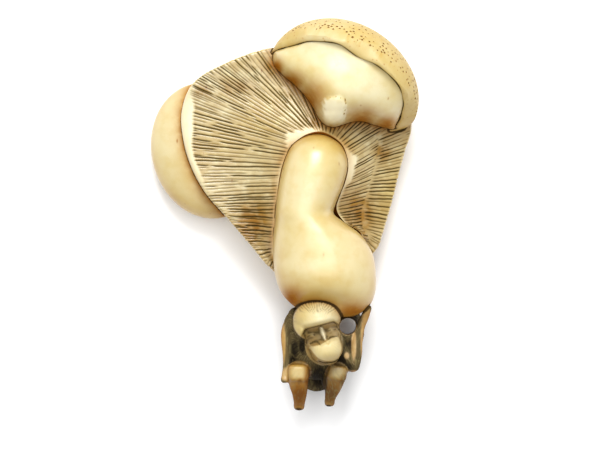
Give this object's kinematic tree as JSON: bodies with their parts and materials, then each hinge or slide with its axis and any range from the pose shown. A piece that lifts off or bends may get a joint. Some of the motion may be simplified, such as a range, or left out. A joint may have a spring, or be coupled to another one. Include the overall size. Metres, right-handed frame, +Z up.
{
  "type": "netsuke",
  "caption": "Ivory netsuke carved as a squatting monkey carrying a clump of mushrooms, with a hole for its cord through the crook of the raised arm.",
  "frame": {"origin": "on the plane it lies on, under the middle of its outline", "axes": "+Z up, away from the table and out of the gilled face; +Y along its length, from the monkey's feet to the mushroom caps; +X across the caps, towards the bud"},
  "size_m": [0.0414, 0.0602, 0.0197],
  "materials": {
    "ivory": "polished, yellowed, with dark stain rubbed into the engraving"
  },
  "bodies": {
    "root": {"netsuke": "ivory"}
  },
  "joints": []
}
